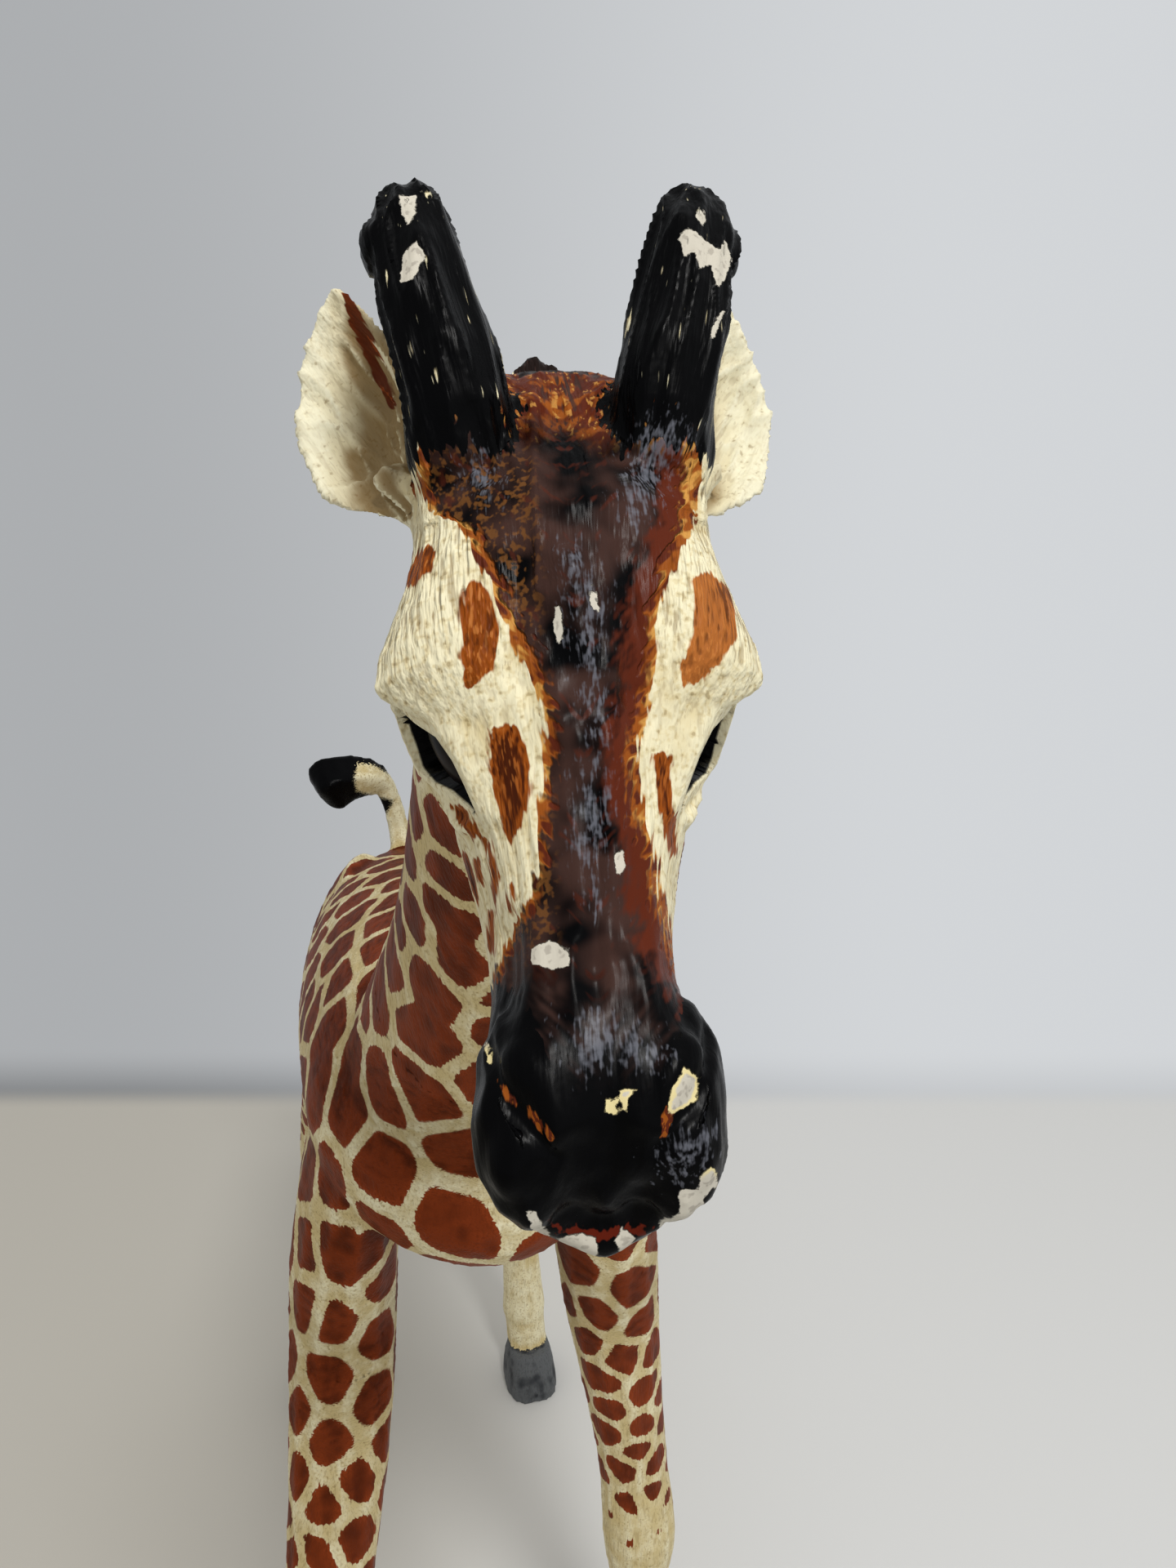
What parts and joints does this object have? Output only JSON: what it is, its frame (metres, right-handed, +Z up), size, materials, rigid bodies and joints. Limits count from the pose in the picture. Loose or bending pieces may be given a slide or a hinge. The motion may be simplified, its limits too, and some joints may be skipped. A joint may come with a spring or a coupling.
{
  "type": "toy giraffe figure",
  "caption": "Standing giraffe figure in painted vinyl, with its head turned, its tail curled up and one foreleg stepping forward.",
  "frame": {"origin": "the middle of the figure's outline, on the ground that its four hooves stand on", "axes": "+Z up; the figure faces -Y and its left side is +X"},
  "size_m": [0.0452, 0.1392, 0.1714],
  "materials": {
    "spotted_coat": "vinyl painted reddish brown patches with a cream net between them",
    "face_paint": "cream paint with a brown wash in fine hair grooves and a glossy dark stripe down the face",
    "ear_paint": "cream paint over wrinkled vinyl",
    "ossicone_paint": "glossy black paint with small worn places that show the pale vinyl",
    "tail_paint": "cream stalk with a black tassel"
  },
  "bodies": {
    "root": {"torso": "spotted_coat", "neck": "spotted_coat", "front_left_leg": "spotted_coat", "front_right_leg": "spotted_coat", "rear_left_leg": "spotted_coat", "rear_right_leg": "spotted_coat", "tail": "tail_paint", "head": "face_paint", "ear_left": "ear_paint", "ear_right": "ear_paint", "ossicone_left": "ossicone_paint", "ossicone_right": "ossicone_paint"}
  },
  "joints": []
}
